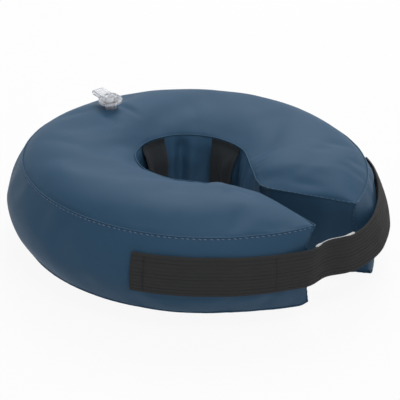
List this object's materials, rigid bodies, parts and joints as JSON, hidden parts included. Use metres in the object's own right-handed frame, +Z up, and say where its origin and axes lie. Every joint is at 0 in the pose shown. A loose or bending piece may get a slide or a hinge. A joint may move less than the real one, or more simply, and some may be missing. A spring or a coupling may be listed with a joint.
{
  "type": "inflatable pet neck collar",
  "caption": "Inflatable C-shaped recovery collar for a pet: fabric-covered air ring with a neck hole, inner collar loops, hook-and-loop closing strap and air valve.",
  "frame": {"origin": "ring axis on the surface the collar stands on, under the neck hole", "axes": "+Z up along the neck hole, -Y through the slit, +Y towards the air valve, +X to the right arm"},
  "size_m": [0.2917, 0.2983, 0.1045],
  "materials": {
    "cover_fabric": "matte blue-grey coated fabric",
    "bladder_vinyl": "thin grey vinyl film",
    "black_webbing": "ribbed black webbing",
    "hook_tape": "pale hook tape",
    "loop_tape": "dark loop pile",
    "valve_vinyl": "clear soft vinyl"
  },
  "bodies": {
    "ring_body": {"top_panel_body": "cover_fabric", "bottom_panel_body": "cover_fabric", "outer_wall_body": "cover_fabric", "bore_wall_body": "cover_fabric", "end_panel_body": "cover_fabric", "bladder_body": "bladder_vinyl", "collar_loop_right": "black_webbing", "collar_loop_back": "black_webbing", "loop_tape": "loop_tape", "valve_flange": "valve_vinyl"},
    "left_arm": {"top_panel_left_arm": "cover_fabric", "bottom_panel_left_arm": "cover_fabric", "outer_wall_left_arm": "cover_fabric", "bore_wall_left_arm": "cover_fabric", "end_panel_left_arm": "cover_fabric", "bladder_left_arm": "bladder_vinyl", "collar_loop_left": "black_webbing", "strap_anchor": "black_webbing"},
    "strap_bridge": {"strap_bridge": "black_webbing", "hook_tape_bridge": "hook_tape"},
    "strap_tail": {"strap_tail": "black_webbing", "hook_tape_tail": "hook_tape"},
    "valve_stem": {"valve_stem": "valve_vinyl", "valve_tether_stem": "valve_vinyl"},
    "valve_plug": {"valve_plug": "valve_vinyl", "valve_tether_plug": "valve_vinyl"},
    "valve_flap": {"valve_flap": "valve_vinyl"}
  },
  "joints": [
    {"name": "ring_spread", "type": "hinge", "parent": "ring_body", "child": "left_arm", "pos_m": [-0.12731, 0.0735, 0.0475], "axis": [0, 0, -1], "range_deg": [0, 25], "stiffness_Nm_per_rad": 5},
    {"name": "strap_open", "type": "hinge", "parent": "left_arm", "child": "strap_bridge", "pos_m": [-0.05552, -0.13741, 0.05], "axis": [0, 0, -1], "range_deg": [0, 110]},
    {"name": "strap_peel", "type": "hinge", "parent": "strap_bridge", "child": "strap_tail", "pos_m": [0.03753, -0.15052, 0.05], "axis": [0, 0, -1], "range_deg": [0, 50]},
    {"name": "valve_press", "type": "slide", "parent": "ring_body", "child": "valve_stem", "axis": [0.1045, 0, -0.9945], "range_m": [0, 0.0036]},
    {"name": "plug_open", "type": "hinge", "parent": "valve_stem", "child": "valve_plug", "pos_m": [0.00392, 0.11291, 0.1015], "axis": [-0.969, 0.225, -0.1018], "range_deg": [0, 110]},
    {"name": "flap_open", "type": "hinge", "parent": "valve_stem", "child": "valve_flap", "pos_m": [0.00231, 0.09698, 0.08157], "axis": [0.969, -0.225, 0.1018], "range_deg": [0, 45], "stiffness_Nm_per_rad": 0.00004}
  ]
}
